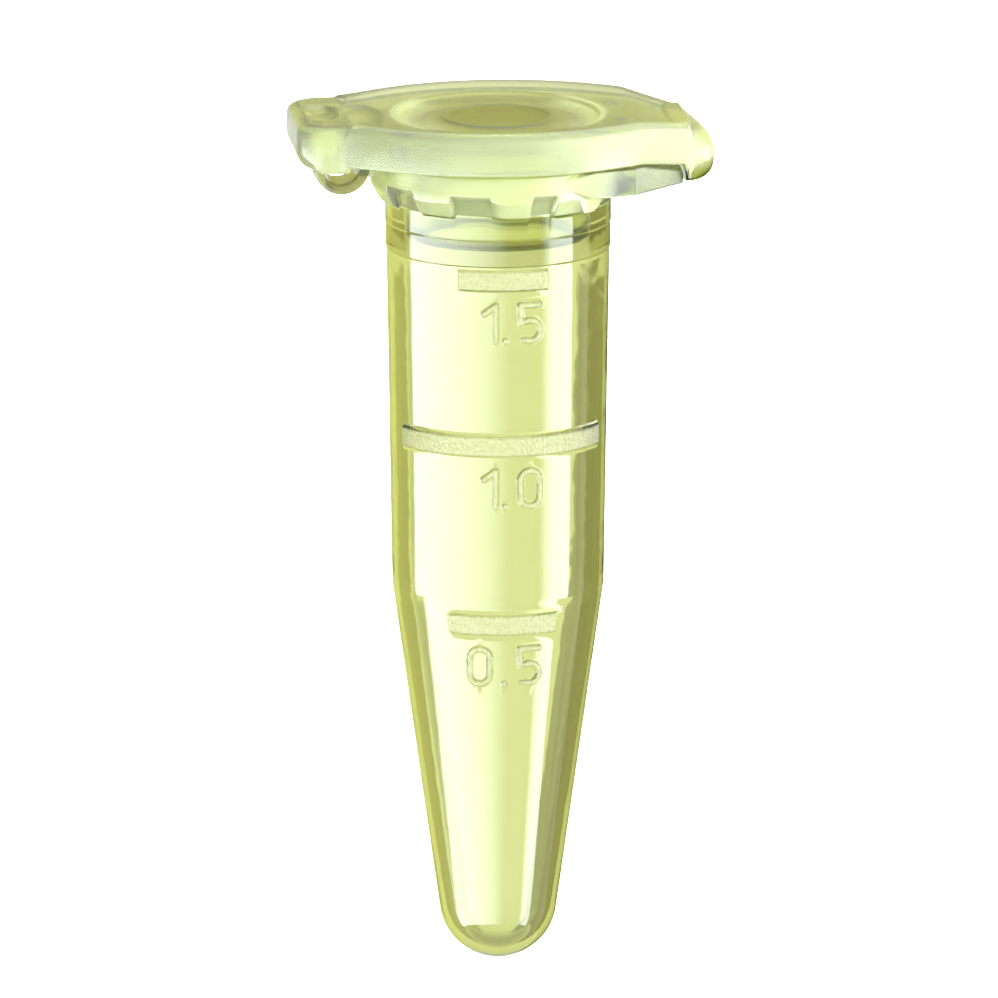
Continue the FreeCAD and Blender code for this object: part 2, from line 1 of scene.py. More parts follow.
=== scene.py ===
"""A 1.5 ml microcentrifuge tube with its lid closed, in tinted see-through polypropylene.

Three mouldings stand for the CAD nodes: the tube, the lid, and the hinge strap between them.
Shapes are worked out in millimetres in the CAD's frame, and only the finished mesh is in metres.
"""
import math
from types import SimpleNamespace

import bpy
import numpy as np
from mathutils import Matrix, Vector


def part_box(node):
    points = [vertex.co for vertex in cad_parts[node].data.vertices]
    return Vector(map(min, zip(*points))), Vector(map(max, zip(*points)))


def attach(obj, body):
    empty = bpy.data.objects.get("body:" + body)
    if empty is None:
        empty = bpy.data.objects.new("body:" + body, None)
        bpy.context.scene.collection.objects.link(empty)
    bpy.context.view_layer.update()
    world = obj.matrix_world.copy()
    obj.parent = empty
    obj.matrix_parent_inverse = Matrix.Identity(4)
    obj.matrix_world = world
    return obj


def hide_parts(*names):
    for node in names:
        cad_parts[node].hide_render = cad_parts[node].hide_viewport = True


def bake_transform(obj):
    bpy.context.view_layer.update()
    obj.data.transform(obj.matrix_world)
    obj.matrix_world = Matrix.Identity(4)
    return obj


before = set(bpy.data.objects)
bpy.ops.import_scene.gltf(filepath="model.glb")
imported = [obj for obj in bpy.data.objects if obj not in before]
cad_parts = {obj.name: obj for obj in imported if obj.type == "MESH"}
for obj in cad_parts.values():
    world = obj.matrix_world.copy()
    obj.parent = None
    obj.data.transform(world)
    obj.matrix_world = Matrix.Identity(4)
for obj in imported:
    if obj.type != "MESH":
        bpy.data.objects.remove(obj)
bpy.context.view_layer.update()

MM = 0.001
TUBE_NODES = (
    "barrel", "neck", "collar", "collar_feet", "wide_feet", "collar_lip", "hinge_lug",
    "low_mark", "low_number", "middle_mark", "middle_number", "high_mark", "high_number",
)
LID_NODES = (
    "lid_plate", "lid_rim", "centre_ring", "thumb_tab", "hinge_block", "lid_plug", "seal_bead",
)


def corner_mm(node, end, axis):
    """One coordinate of a CAD node's box in millimetres: end 0 is the lowest corner, 1 the highest."""
    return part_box(node)[end][axis] / MM


# --- sizes in millimetres ------------------------------------------------------------------------

TIP_BOTTOM = corner_mm("barrel", 0, 2)
TIP_RADIUS = 2.83
TIP_WALL = 0.86
CONE_TOP = -19.0
CONE_TOP_RADIUS = 5.09
BARREL_TOP = corner_mm("barrel", 1, 2)
BARREL_TOP_RADIUS = 5.36
WALL = 0.9
NECK_RADIUS = 5.45
NECK_STEP = -1.18
STEP_RADIUS = 5.41
MOUTH_RADIUS = 4.72
MOUTH_BEVEL = 0.22
LAND_TOP = -1.55
COLLAR_RADIUS = corner_mm("collar", 1, 0)
COLLAR_TOP = corner_mm("collar", 1, 2)
COLLAR_BEVEL = 0.12
BAND_BOTTOM = 1.12

FOOT_CENTRES = (90.0, 127.5, 165.0)
FOOT_HALF_SPAN = 9.5
FOOT_RADIUS = 5.8
FOOT_EDGE = 0.75
FOOT_CORNER = 0.22
FRONT_FOOT_CORNER = 0.9
WIDE_FOOT = (41.0, 68.5)
WIDE_FOOT_CORNER = 0.95
FILLET_DEPTH = 0.1
NOTCH_HEIGHT = 0.75
COLLAR_SIDE_BOTTOM = 1.25
COLLAR_SIDE_TOP = 1.7
COLLAR_FOLD_TOP = 1.85
LIP_BOTTOM = corner_mm("collar_lip", 0, 2)
LIP_ROOT_TOP = 2.0
LIP_END_TOP = 1.3
LIP_BEND = 6.6
LIP_END = corner_mm("collar_lip", 1, 0)
LIP_END_HALF = 1.85
LIP_SHOULDER = (6.2, 4.4)
LIP_ROOT = (2.6, 5.62)
LIP_FADE = (50.0, 64.0)  # degrees over which the lip runs out into the collar
LIP_SHOULDER_TURN = 35.4
LIP_END_TURN = 11.9
LUG_END = 6.78
LUG_HALF = 1.2
LUG_BOTTOM = corner_mm("hinge_lug", 0, 2)
LUG_TOP = corner_mm("hinge_lug", 1, 2)
LUG_TURN = 10.2

MARKS_TURN = -93.0
NUMBERS_TURN = -92.0
MARK_HEIGHT = 0.94
MARK_RELIEF = 0.09
DIGIT_HEIGHT = 2.0
DIGIT_WIDTH = 1.22
DIGIT_GAP = 1.2
DIGIT_STROKE = 0.24
DIGIT_DROP = 2.08
MARK_EDGE = 0.03
MARK_END_EDGE = 0.04
DIGIT_EDGE = 0.035
MARKS = (("0.5", -20.15, 61.0), ("1.0", -11.3, 127.0), ("1.5", -3.15, 47.0))  # text, height, degrees

PLATE_BOTTOM = 2.19
PLATE_TOP = 3.97
RIM_RISE = 0.3
RIM_WIDTH = 0.75
RIM_ROUNDING = 0.45
BLOCK_ROUNDING = 0.6
SIDE_RADIUS = 10.4
SIDE_REACH = 6.0
LID_HALF_WIDTH = corner_mm("lid_plate", 1, 1)
TAB_ROOT = 8.95
TAB_ROOT_HALF = 2.4
TAB_END = corner_mm("thumb_tab", 1, 0)
TAB_BOTTOM = corner_mm("thumb_tab", 0, 2)
TAB_BOTTOM_RISE = 0.2
TAB_NOSE = 1.9
TAB_BEND = 6.6
TAB_DROOP = 0.48
TAB_INNER_GAP = 0.13
BLOCK_ROOT = -7.5
BLOCK_END = corner_mm("hinge_block", 0, 0)
BLOCK_HALF = 3.65
BLOCK_CORNER = 1.25
BLOCK_BOTTOM = corner_mm("hinge_block", 0, 2)
BLOCK_TOP = 4.17
BLOCK_BEVEL = 0.9
RECESS_RADIUS = 4.9
RECESS_DEPTH = 0.2
RING_RADIUS = 2.6
RING_RISE = 0.1
PLUG_RADIUS = 4.3
PLUG_WALL = 0.75
PLUG_BOTTOM = corner_mm("lid_plug", 0, 2)
BEAD_RADIUS = 4.43
BEAD_HEIGHT = -1.5
HOLLOW_RISE = 0.6
LID_CORNER_TURNS = (14.9, 38.1, 141.9, 154.0, 157.9, 165.1)
DISHES = ((-8.63, 0.95, 1.75, 0.34), (-6.6, 1.0, 2.5, 0.25))  # middle, half length, half width, depth
PIPS = ((5.63, 1.62), (5.69, -2.0), (7.73, 1.28))
PIP_HEIGHT = 0.12
PIP_RADII = (0.1, 0.36)

STRAP_CENTRE = (-7.65, 1.70)
STRAP_RADIUS = 1.12
STRAP_THICKNESS = 0.5
STRAP_HALF_WIDTH = 1.2
STRAP_THINNING = 0.16
FOLD_TURN = 225.0
FOLD_SPREAD = 22.0

# --- looks: how frosted or hazy each zone is, and its painted shade and highlight, from 0 to 1 ---

LIP_FROST = 0.8
STEP_SHADE = 0.6
COLLAR_HAZE = 0.6
NOTCH_HAZE = 0.5
LIP_CLEARER = 0.6
LID_TOP_FROST = 0.25
LID_SIDE_HAZE = 0.55
LID_TOP_HAZE = 0.28
RECESS_WALL_HIGHLIGHT = 0.3
RECESS_SHADE = 0.55
RING_SHADE = 0.2
RECESS_WALL_SHADE = 0.5
LID_TOP_SHADE = 0.25
STRAP_HAZE = 0.3
STRAP_SHADE = 0.6


# --- helpers -------------------------------------------------------------------------------------

def ease(value, low, high):
    """0 below low, 1 above high, and a smooth rise between them."""
    share = np.clip((value - low) / (high - low), 0.0, 1.0)
    return share * share * (3.0 - 2.0 * share)


def mix(first, second, weight):
    return first + (second - first) * weight


def angle_gap(degrees, centre):
    """How far each angle is from a centre, as a signed number of degrees."""
    return (degrees - centre + 180.0) % 360.0 - 180.0


def columns(coarse, *zones):
    """Angles round the axis in degrees: every coarse step, and finer in each (low, high, step)."""
    angles = list(np.arange(-180.0, 180.0, coarse))
    for low, high, step in zones:
        angles = [a for a in angles if not low <= a <= high]
        angles += list(np.arange(low, high, step))
    angles = np.unique(np.round((np.array(angles) + 180.0) % 360.0 - 180.0, 3))
    return angles


def reach_at(angles, outline):
    """Distance from the axis, at each angle, of an outline in plan that is the same on both sides."""
    dense = []
    for (x0, y0), (x1, y1) in zip(outline, outline[1:]):
        dense += [(mix(x0, x1, t), mix(y0, y1, t)) for t in np.linspace(0.0, 1.0, 12, endpoint=False)]
    dense.append(outline[-1])
    around = [math.degrees(math.atan2(y, x)) for x, y in dense]
    return np.interp(np.abs(angles), around, [math.hypot(x, y) for x, y in dense])


def hump(degrees, centre, width):
    """1 at a centre angle on either side, falling smoothly to 0 a width away from it."""
    return 1.0 - ease(np.abs(np.abs(degrees) - centre), 0.0, width)


def bend(start, control, end, count):
    """Rows along a quadratic curve. Each point is (radius, height), the same size as the columns."""
    rows = []
    for t in np.linspace(0.0, 1.0, count):
        a, b, c = (1 - t) ** 2, 2 * t * (1 - t), t * t
        rows.append(tuple(a * s + b * m + c * e for s, m, e in zip(start, control, end)))
    return rows


def rounded(corners, steps=4):
    """Rows through corners given as (radius, height, rounding), each corner turned by a short curve."""
    rows = []
    for number, (r, z, rounding) in enumerate(corners):
        if rounding == 0 or number in (0, len(corners) - 1):
            rows.append((r, z))
            continue
        ends = []
        for neighbour in (corners[number - 1], corners[number + 1]):
            reach_r, reach_z = neighbour[0] - r, neighbour[1] - z
            length = np.maximum(np.hypot(reach_r, reach_z), 1e-6)
            share = np.minimum(rounding / length, 0.45)
            ends.append((r + reach_r * share, z + reach_z * share))
        rows += bend(ends[0], (r, z), ends[1], steps)
    return rows


def new_object(name, points, faces):
    mesh = bpy.data.meshes.new(name)
    mesh.from_pydata((np.asarray(points) * MM).tolist(), [], faces)
    mesh.polygons.foreach_set("use_smooth", [True] * len(mesh.polygons))
    mesh.update()
    piece = bpy.data.objects.new(name, mesh)
    bpy.context.scene.collection.objects.link(piece)
    return piece


def turned_piece(name, angles, rows):
    """A closed skin from rows of (radius, height) round the axis. The first and last rows are poles."""
    count = len(angles)
    turn = np.radians(angles)
    radius = np.array([np.broadcast_to(r, count) for r, _ in rows[1:-1]])
    height = np.array([np.broadcast_to(z, count) for _, z in rows[1:-1]])
    skin = np.stack([radius * np.cos(turn), radius * np.sin(turn), height], axis=-1).reshape(-1, 3)
    poles = np.array([[0.0, 0.0, float(np.mean(rows[end][1]))] for end in (0, -1)])
    points = np.vstack([skin, poles])
    first_pole, last_pole = len(skin), len(skin) + 1
    last_row = len(rows) - 3
    faces = []
    for column in range(count):
        following = (column + 1) % count
        faces.append((first_pole, following, column))
        faces.append((last_pole, last_row * count + column, last_row * count + following))
        for row in range(last_row):
            low, high = row * count, (row + 1) * count
            faces.append((low + column, low + following, high + following, high + column))
    return new_object(name, points, faces)


def paint_mask(piece, name, values):
    """Keep one number for each of the mesh's points, for the material to read."""
    attribute = piece.data.attributes.new(name, "FLOAT", "POINT")
    attribute.data.foreach_set("value", np.asarray(values, dtype=np.float32))


def mesh_points_mm(piece):
    flat = np.empty(len(piece.data.vertices) * 3, dtype=np.float32)
    piece.data.vertices.foreach_get("co", flat)
    return flat.reshape(-1, 3) / MM


# --- raised marks and numbers --------------------------------------------------------------------

def line_distance(u, v, start, end):
    """Distance from points (u, v) to a straight stroke."""
    along = np.array(end) - np.array(start)
    share = ((u - start[0]) * along[0] + (v - start[1]) * along[1]) / float(along @ along)
    share = np.clip(share, 0.0, 1.0)
    return np.hypot(u - start[0] - share * along[0], v - start[1] - share * along[1])


def digit_zero(u, v):
    """Distance to the middle line of an upright oval with straight sides."""
    half = (DIGIT_WIDTH - DIGIT_STROKE) / 2
    tall = (DIGIT_HEIGHT - DIGIT_STROKE) / 2
    spine = np.clip(v, half - tall, tall - half)
    return np.abs(np.hypot(u, v - spine) - half)


def digit_one(u, v):
    """Distance to an upright at the cell's right edge and to its slanted flag."""
    tall = (DIGIT_HEIGHT - DIGIT_STROKE) / 2
    stem = (DIGIT_WIDTH + DIGIT_STROKE) / 2
    flag_reach, flag_drop = 0.56, 0.42
    upright = line_distance(u, v, (stem, -tall), (stem, tall))
    flag = line_distance(u, v, (stem - flag_reach, tall - flag_drop), (stem, tall))
    return np.minimum(upright, flag)


def digit_five(u, v):
    """Distance to a flat top, a short upright and an open bowl."""
    tall = (DIGIT_HEIGHT - DIGIT_STROKE) / 2
    left, right = (DIGIT_STROKE - DIGIT_WIDTH) / 2, (DIGIT_WIDTH - DIGIT_STROKE) / 2
    bowl_radius, opening_start, opening_half = 0.5, -0.18, 0.34
    upright_lean, upright_end = 0.03, 0.38
    centre_v = bowl_radius - tall
    bowl_u, bowl_v = u - (right - bowl_radius), v - centre_v
    bowl = np.abs(np.hypot(bowl_u, bowl_v) - bowl_radius)
    opening = (bowl_u < opening_start) & (np.abs(bowl_v) < opening_half)
    bowl = np.where(opening, 1.0, bowl)
    top = line_distance(u, v, (left, tall), (right, tall))
    upright = line_distance(u, v, (left, tall), (left + upright_lean, centre_v + upright_end))
    return np.minimum(np.minimum(bowl, top), upright)


def decimal_point(u, v):
    bottom = (DIGIT_STROKE - DIGIT_HEIGHT) / 2
    return np.maximum(np.abs(u), np.abs(v - bottom))


def relief(angles, height, radius):
    """How far the marks and numbers stand off the wall, from 0 to 1, along one row."""
    raised = np.zeros_like(angles)
    along_mark = np.radians(angle_gap(angles, MARKS_TURN)) * radius
    along_number = np.radians(angle_gap(angles, NUMBERS_TURN)) * radius
    digits = {"0": digit_zero, "1": digit_one, "5": digit_five}
    cell = (DIGIT_GAP + DIGIT_WIDTH) / 2
    for text, middle, span in MARKS:
        half_length = math.radians(span / 2) * radius
        inside = min(MARK_HEIGHT / 2 - abs(height - middle), 1.0)
        beside = half_length - np.abs(along_mark)
        bar = ease(inside, -MARK_EDGE, MARK_EDGE) * ease(beside, -MARK_END_EDGE, MARK_END_EDGE)
        raised = np.maximum(raised, bar)
        v = height - (middle - DIGIT_DROP)
        if abs(v) > DIGIT_HEIGHT:
            continue
        for shape, shift in ((digits[text[0]], -cell), (decimal_point, 0.0), (digits[text[2]], cell)):
            edge = DIGIT_STROKE / 2 - shape(along_number - shift, v)
            raised = np.maximum(raised, ease(edge, -DIGIT_EDGE, DIGIT_EDGE))
    return raised


# --- tube ----------------------------------------------------------------------------------------

def tangent_corner(top_radius, tip_radius, tip_centre):
    """Where the cone's straight line meets the round tip: the point, and its turn from straight down."""
    rise = CONE_TOP - tip_centre
    turn = math.atan2(top_radius, -rise) - math.acos(tip_radius / math.hypot(top_radius, rise))
    return tip_radius * math.sin(turn), tip_centre - tip_radius * math.cos(turn), turn


def outer_rows(angles):
    """Rows up the outside of the tip, cone and barrel, close together where the marks stand."""
    centre = TIP_BOTTOM + TIP_RADIUS
    corner_radius, corner_height, turn = tangent_corner(CONE_TOP_RADIUS, TIP_RADIUS, centre)
    rows = []
    for t in np.linspace(0.0, turn, 18)[:-1]:
        rows.append((TIP_RADIUS * math.sin(t), centre - TIP_RADIUS * math.cos(t)))
    fine = 0.07
    heights = list(np.arange(corner_height, BARREL_TOP - 0.3, 0.7))
    heights += [CONE_TOP - 0.2, CONE_TOP, CONE_TOP + 0.2]
    for _, middle, _ in MARKS:
        digits = middle - DIGIT_DROP
        zones = (
            (middle - MARK_HEIGHT / 2 - fine, middle + MARK_HEIGHT / 2 + fine),
            (digits - DIGIT_HEIGHT / 2 - fine, digits + DIGIT_HEIGHT / 2 + fine),
        )
        for low, high in zones:
            heights = [h for h in heights if not low - fine < h < high + fine]
            heights += list(np.linspace(low, high, int((high - low) / fine) + 1))
    for height in sorted(heights):
        radius = float(np.interp(height, [corner_height, CONE_TOP, BARREL_TOP],
                                 [corner_radius, CONE_TOP_RADIUS, BARREL_TOP_RADIUS]))
        rows.append((radius + MARK_RELIEF * relief(angles, height, radius), height))
    return rows


def inner_rows():
    """Rows down the inside, from the mouth to the bottom of the tip."""
    inner_tip = TIP_RADIUS - TIP_WALL
    centre = TIP_BOTTOM + TIP_RADIUS
    bore, cone_bore = BARREL_TOP_RADIUS - WALL, CONE_TOP_RADIUS - WALL
    corner_radius, corner_height, turn = tangent_corner(cone_bore, inner_tip, centre)
    rows = [(bore, LAND_TOP), (bore, BARREL_TOP)]
    steps = np.linspace(0.1, 1, 10)
    rows += [(mix(bore, cone_bore, t), mix(BARREL_TOP, CONE_TOP + 0.3, t)) for t in steps]
    rows.append((cone_bore - 0.03, CONE_TOP - 0.3))
    rows += [(mix(cone_bore, corner_radius, t), mix(CONE_TOP, corner_height, t)) for t in steps]
    for t in np.linspace(turn, 0.0, 14)[1:]:
        rows.append((inner_tip * math.sin(t), centre - inner_tip * math.cos(t)))
    return rows


def rounded_edge(inside, corner):
    """Height of a foot's lower edge at a distance inside its side: a round corner, then level."""
    curve = corner - np.sqrt(corner ** 2 - (corner - np.clip(inside, 0.0, corner)) ** 2)
    return np.where(inside < 0.0, BAND_BOTTOM, curve)


def foot_height(angles):
    """Height of the collar's lower edge: 0 on a foot, up to the band in a notch."""
    per_degree = math.radians(1.0) * COLLAR_RADIUS
    edge = np.full_like(angles, BAND_BOTTOM)
    for side in (-1.0, 1.0):
        for centre in FOOT_CENTRES:
            off = angle_gap(angles, side * centre) * side
            hinge_corner = FRONT_FOOT_CORNER if centre == FOOT_CENTRES[0] else FOOT_CORNER
            hinge_side = rounded_edge((FOOT_HALF_SPAN - off) * per_degree, hinge_corner)
            lip_side = rounded_edge((FOOT_HALF_SPAN + off) * per_degree, FOOT_CORNER)
            edge = np.minimum(edge, np.maximum(hinge_side, lip_side))
    lip_side = rounded_edge((np.abs(angles) - WIDE_FOOT[0]) * per_degree, WIDE_FOOT_CORNER)
    hinge_side = rounded_edge((WIDE_FOOT[1] - np.abs(angles)) * per_degree, FOOT_CORNER)
    return np.minimum(edge, np.maximum(hinge_side, lip_side))


def ledge(angles):
    """The lip and the lug: how far each column's collar stands out, and where it starts and stops."""
    turn = np.radians(angles)
    cos, sin = np.cos(turn), np.abs(np.sin(turn))
    plan = [(LIP_END, 0.0), (LIP_END, LIP_END_HALF), LIP_SHOULDER, LIP_ROOT]
    reach = np.maximum(reach_at(angles, plan), COLLAR_RADIUS)
    lip = 1.0 - ease(np.abs(angles), *LIP_FADE)
    lug = ease(LUG_HALF - LUG_END * sin, -0.05, 0.05) * (cos < 0)
    lug_reach = mix(COLLAR_RADIUS, LUG_END / np.maximum(-cos, 0.5), lug)
    outer = np.where(cos < 0, lug_reach, reach)
    bottom = mix(mix(COLLAR_SIDE_BOTTOM, LIP_BOTTOM, lip), LUG_BOTTOM, lug)
    slant = (LIP_ROOT_TOP - LIP_END_TOP) / (LIP_END - LIP_BEND)
    top = LIP_ROOT_TOP - slant * np.maximum(outer * cos - LIP_BEND, 0.0)
    top = mix(mix(COLLAR_SIDE_TOP, top, lip), LUG_TOP - 0.02, lug)
    farthest = np.maximum(outer - 0.02, COLLAR_RADIUS + 0.02)
    fold = np.clip(LIP_BEND / np.maximum(cos, 0.3), COLLAR_RADIUS + 0.01, farthest)
    fold = mix(COLLAR_RADIUS, fold, lip)
    fold_top = mix(mix(COLLAR_FOLD_TOP, LIP_ROOT_TOP - 0.01, lip), LUG_TOP - 0.01, lug)
    return outer, bottom, top, fold, fold_top


def collar_rows(angles):
    """Rows from the top of the barrel round the neck, feet, collar and lip, and into the mouth."""
    same = np.ones_like(angles)
    edge = foot_height(angles)
    outer, bottom, top, fold, fold_top = ledge(angles)
    edge = np.minimum(edge, np.maximum(bottom - 0.05, 0.0))
    notch = edge / BAND_BOTTOM
    band_edge = np.maximum(mix(FOOT_EDGE, BAND_BOTTOM, notch) * (bottom > 0.9), edge)
    bore = BARREL_TOP_RADIUS - WALL
    return rounded([
        (BARREL_TOP_RADIUS * same, (BARREL_TOP - 0.14) * same, 0),
        (BARREL_TOP_RADIUS * same, (BARREL_TOP - 0.05) * same, 0.03),
        (STEP_RADIUS * same, (BARREL_TOP + 0.03) * same, 0.03),
        (STEP_RADIUS * same, (NECK_STEP - 0.05) * same, 0.03),
        (NECK_RADIUS * same, (NECK_STEP + 0.03) * same, 0.03),
        (NECK_RADIUS * same, -0.02 - FILLET_DEPTH * (1.0 - notch), 0.12),
        (FOOT_RADIUS * same, NOTCH_HEIGHT * notch, 0.08),
        (COLLAR_RADIUS * same, band_edge, 0.08),
        (COLLAR_RADIUS * same, np.maximum(bottom, edge + 0.02), 0.1),
        (outer, np.maximum(bottom, edge + 0.03), 0.1),
        (outer, top, 0.12),
        (fold, fold_top, 0.1),
        (COLLAR_RADIUS * same, (LIP_ROOT_TOP + 0.01) * same, 0.02),
        ((COLLAR_RADIUS - COLLAR_BEVEL) * same, COLLAR_TOP * same, 0.03),
        ((MOUTH_RADIUS + MOUTH_BEVEL) * same, COLLAR_TOP * same, 0.08),
        (MOUTH_RADIUS * same, (COLLAR_TOP - MOUTH_BEVEL) * same, 0.08),
        (bore * same, LAND_TOP * same, 0),
    ])[:-1]


def tube_angles():
    """Columns of the tube: finer across the marks and at the corners of the feet, the lip and the lug."""
    feet = list(WIDE_FOOT) + [c + FOOT_HALF_SPAN * s for c in FOOT_CENTRES for s in (-1, 1)]
    middle_mark_half = MARKS[1][2] / 2
    zones = [(-118.0, -66.0, 0.6), (-100.0, -91.0, 0.45)]
    zones += [(side * edge - 1.2, side * edge + 1.2, 0.4) for edge in feet for side in (-1, 1)]
    for centre, turn, reach, step in (
        (0.0, LIP_SHOULDER_TURN, 1.5, 0.5),
        (MARKS_TURN, middle_mark_half, 1.2, 0.4),
        (180.0, LUG_TURN, 1.2, 0.4),
        (0.0, LIP_END_TURN, 1.0, 0.5),
    ):
        zones += [(centre + side * turn - reach, centre + side * turn + reach, step) for side in (-1, 1)]
    return columns(3.0, *zones)


def mark_frost(angles, outside, row_count):
    """Frost on the raised marks, for a skin whose rows start with those of the outside."""
    frost = np.zeros((row_count, len(angles)))
    for number, (radius, height) in enumerate(outside):
        frost[number] = relief(angles, height, float(np.mean(radius))) if number else 0.0
    return np.append(frost[1:-1].ravel(), [0.0, 0.0])


def paint_tube(piece, frost):
    """Frosted marks and lip, painted shade on the neck step; the feet and the band above them are hazy."""
    points = mesh_points_mm(piece)
    x, z = points[:, 0], points[:, 2]
    reach = np.hypot(x, points[:, 1])
    lip = ease(x, 6.1, 6.3) * ease(reach, 6.5, 6.6) * ease(z, LIP_BOTTOM, LIP_BOTTOM + 0.1)
    paint_mask(piece, "frost", np.maximum(frost, LIP_FROST * lip))
    # painted shade: a dark band round the outside of the neck's step
    on_step = ease(0.02 - np.abs(reach - STEP_RADIUS), 0.0, 0.01) * ease(z, BARREL_TOP - 0.1, BARREL_TOP)
    paint_mask(piece, "shade", STEP_SHADE * on_step)
    around = np.degrees(np.arctan2(points[:, 1], x))
    on_foot = 1.0 - foot_height(around) / BAND_BOTTOM
    on_band = ease(z, BAND_BOTTOM - 0.15, BAND_BOTTOM)
    in_notch = ease(z, -0.1, 0.1) * ease(reach, 5.4, 5.44)
    milky = np.maximum(on_foot * ease(z, -0.1, 0.05), on_band)
    milky = np.maximum(milky, NOTCH_HAZE * in_notch)
    clearer = 1.0 - LIP_CLEARER * ease(x, 4.6, 5.6)
    paint_mask(piece, "haze_and_highlight", COLLAR_HAZE * milky * clearer * ease(reach, 5.35, 5.44))


def make_tube():
    angles = tube_angles()
    outside = outer_rows(angles)
    rows = outside + collar_rows(angles) + inner_rows()
    piece = turned_piece("tube_moulding", angles, rows)
    paint_tube(piece, mark_frost(angles, outside, len(rows)))
    return piece


# --- lid -----------------------------------------------------------------------------------------

def arc_points(centre, radius, start, end, count):
    turns = np.radians(np.linspace(start, end, count))
    return [(centre[0] + radius * math.cos(t), centre[1] + radius * math.sin(t)) for t in turns]


def lid_outline(angles):
    """How far the lid's edge is from the axis at each angle."""
    drop = SIDE_RADIUS - LID_HALF_WIDTH
    side_turn = math.degrees(math.acos(SIDE_REACH / SIDE_RADIUS))
    tab_radius = ((TAB_END - TAB_ROOT) ** 2 + TAB_ROOT_HALF ** 2) / (2 * (TAB_END - TAB_ROOT))
    tab_turn = math.degrees(math.asin(TAB_ROOT_HALF / tab_radius))
    half = arc_points((TAB_END - tab_radius, 0.0), tab_radius, 0.0, tab_turn, 16)
    half += arc_points((0.0, -drop), SIDE_RADIUS, side_turn, 180.0 - side_turn, 60)
    half += [(BLOCK_ROOT, BLOCK_HALF), (BLOCK_ROOT - 0.8, BLOCK_HALF)]
    half += arc_points((BLOCK_END + BLOCK_CORNER, BLOCK_HALF - BLOCK_CORNER), BLOCK_CORNER, 90.0, 180.0, 12)
    half.append((BLOCK_END, 0.0))
    softness = 1.2 + 11.0 * hump(angles, 38.0, 20.0) + 5.5 * hump(angles, 145.0, 14.0)
    shifts = np.linspace(-1.0, 1.0, 9)
    return np.mean([reach_at(angles + softness * shift, half) for shift in shifts], axis=0)


def dish(x, y, centre, half_length, half_width, depth):
    """Depth of a shallow finger dish, a lens in plan."""
    inside = 1.0 - ((x - centre) / half_length) ** 2 - (y / half_width) ** 2
    return depth * np.sqrt(np.maximum(inside, 0.0))


def droop(x):
    return TAB_DROOP * np.maximum(x - TAB_BEND, 0.0) / (TAB_ROOT - TAB_BEND)


def lid_top(x, y):
    """Height of the lid's upper face inside its rim, with the dishes, the ridge and three small pips."""
    height = PLATE_TOP - droop(np.minimum(x, TAB_ROOT))
    height = height + (BLOCK_TOP - PLATE_TOP) * ease(-x, 7.2, 7.65)
    for middle, half_length, half_width, depth in DISHES:
        height = height - dish(x, y, middle, half_length, half_width, depth)
    for pip_x, pip_y in PIPS:
        height = height + PIP_HEIGHT * (1.0 - ease(np.hypot(x - pip_x, y - pip_y), *PIP_RADII))
    return height


def lid_edges(angles):
    """What the lid's rows share at each angle: its outline, and how much it is tab or hinge block."""
    turn = np.radians(angles)
    cos, sin = np.cos(turn), np.sin(turn)
    outline = lid_outline(angles)
    tab = 1.0 - ease(np.abs(angles), 14.3, 15.6)
    block = ease(np.abs(angles), 153.6, 154.4)
    root = np.minimum(TAB_ROOT / np.maximum(cos, 0.5), outline - 0.02)
    top_edge = mix(outline, root, tab)
    sag = droop(np.minimum(top_edge * cos, TAB_ROOT))
    rim_top = mix(PLATE_TOP + RIM_RISE - sag, BLOCK_TOP, block)
    across_tab = np.minimum(np.abs(outline * sin) / TAB_ROOT_HALF, 1.0)
    tab_bottom = TAB_BOTTOM + TAB_BOTTOM_RISE * across_tab ** 2
    return SimpleNamespace(
        same=np.ones_like(angles), cos=cos, sin=sin, outline=outline, tab=tab, block=block, root=root,
        top_edge=top_edge, rim_top=rim_top, stretch=outline - top_edge, tab_bottom=tab_bottom,
        low=mix(mix(PLATE_BOTTOM - sag, BLOCK_BOTTOM, block), tab_bottom, tab),
        bevel=mix(0.14, BLOCK_BEVEL * ease(-outline * cos, 8.9, 9.6), block),
    )


def lid_top_rows(edges):
    """Rows from the middle of the recess, over the ring and the plate, up to the rim."""
    same, floor = edges.same, PLATE_TOP - RECESS_DEPTH
    rows = [(0.0, floor)]
    rows += rounded([
        (0.6 * same, floor * same, 0),
        ((RING_RADIUS - 0.2) * same, floor * same, 0.06),
        ((RING_RADIUS - 0.06) * same, (floor + RING_RISE) * same, 0.06),
        ((RING_RADIUS + 0.06) * same, (floor + RING_RISE) * same, 0.06),
        ((RING_RADIUS + 0.2) * same, floor * same, 0.06),
        ((RECESS_RADIUS - 0.1) * same, floor * same, 0.08),
        (RECESS_RADIUS * same, PLATE_TOP * same, 0.06),
        ((RECESS_RADIUS + 0.12) * same, PLATE_TOP * same, 0),
    ])
    rim_foot = edges.top_edge - RIM_WIDTH * same - 0.2 * edges.tab
    for t in np.linspace(0.0, 1.0, 36)[1:]:
        radius = mix((RECESS_RADIUS + 0.12) * same, rim_foot, t)
        rows.append((radius, lid_top(radius * edges.cos, radius * edges.sin)))
    rim_base = rows[-1][1]
    rows += bend((rim_foot + 0.03, rim_base + 0.02), (rim_foot + 0.12, edges.rim_top),
                 (rim_foot + 0.26, edges.rim_top), 6)
    return rows


